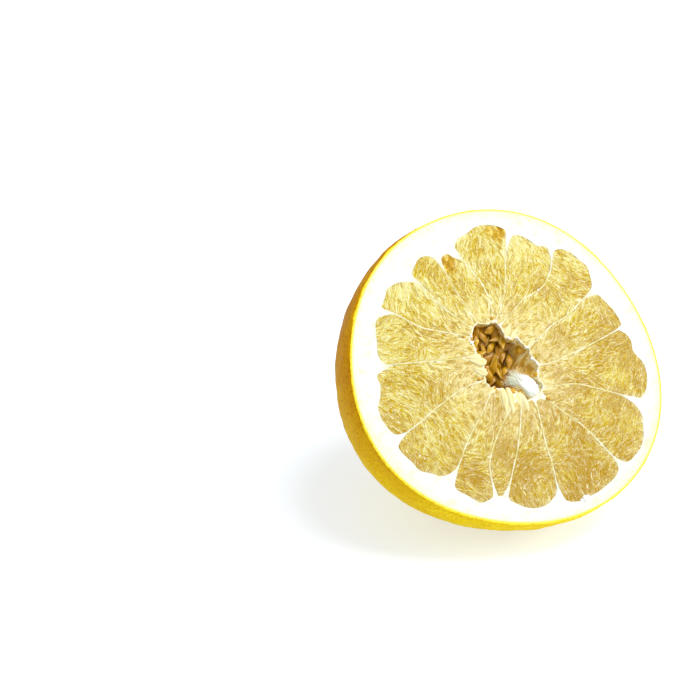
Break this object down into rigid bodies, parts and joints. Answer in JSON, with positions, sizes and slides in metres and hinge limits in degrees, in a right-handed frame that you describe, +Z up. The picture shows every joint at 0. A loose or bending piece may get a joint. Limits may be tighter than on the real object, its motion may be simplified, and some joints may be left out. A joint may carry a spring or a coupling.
{
  "type": "cut pomelo half",
  "caption": "Half of a yellow pomelo lying on its flank, with its cut face leaning back to show pale pulp segments, white pith and a hollow core.",
  "frame": {"origin": "under the middle of the half, on the surface that it lies on", "axes": "+Z up; the cut face looks towards -Y and up, leaning back 45 degrees; +X runs along the cut face to the right as it is looked at"},
  "size_m": [0.1546, 0.1316, 0.1287],
  "materials": {
    "rind": "waxy, dimpled with oil glands",
    "pith": "matt, spongy",
    "pulp": "moist, cut juice sacs",
    "core_sacs": "moist, darker whole juice sacs",
    "seed": "smooth"
  },
  "bodies": {
    "root": {"rind": "rind", "pith": "pith", "segment_01": "pulp", "segment_02": "pulp", "segment_03": "pulp", "segment_04": "pulp", "segment_05": "pulp", "segment_06": "pulp", "segment_07": "pulp", "segment_08": "pulp", "segment_09": "pulp", "segment_10": "pulp", "segment_11": "pulp", "segment_12": "pulp", "segment_13": "pulp", "segment_14": "pulp", "segment_15": "pulp", "segment_16": "pulp", "core_sacs": "core_sacs", "seed_1": "seed", "seed_2": "seed", "seed_3": "seed"}
  },
  "joints": []
}
